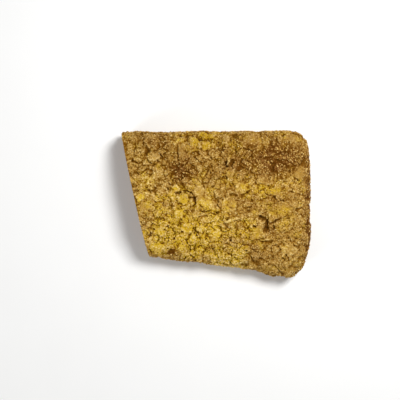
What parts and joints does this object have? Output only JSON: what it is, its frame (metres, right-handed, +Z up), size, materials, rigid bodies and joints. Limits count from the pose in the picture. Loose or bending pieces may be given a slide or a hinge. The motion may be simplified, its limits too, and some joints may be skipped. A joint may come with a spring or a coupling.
{
  "type": "ciabatta loaf",
  "caption": "Flat ciabatta loaf cut across at an end, with a cracked maize-flour crust and an open crumb of pores on the cut face.",
  "frame": {"origin": "centre of the loaf's plan, at the height of its flat base", "axes": "+X from the cut face to the baked end, +Y to the straight long side, +Z up through the crust"},
  "size_m": [0.1849, 0.1439, 0.0424],
  "materials": {
    "crust": "matte",
    "crumb": "matte"
  },
  "bodies": {
    "root": {"ciabatta": "crust"}
  },
  "joints": []
}
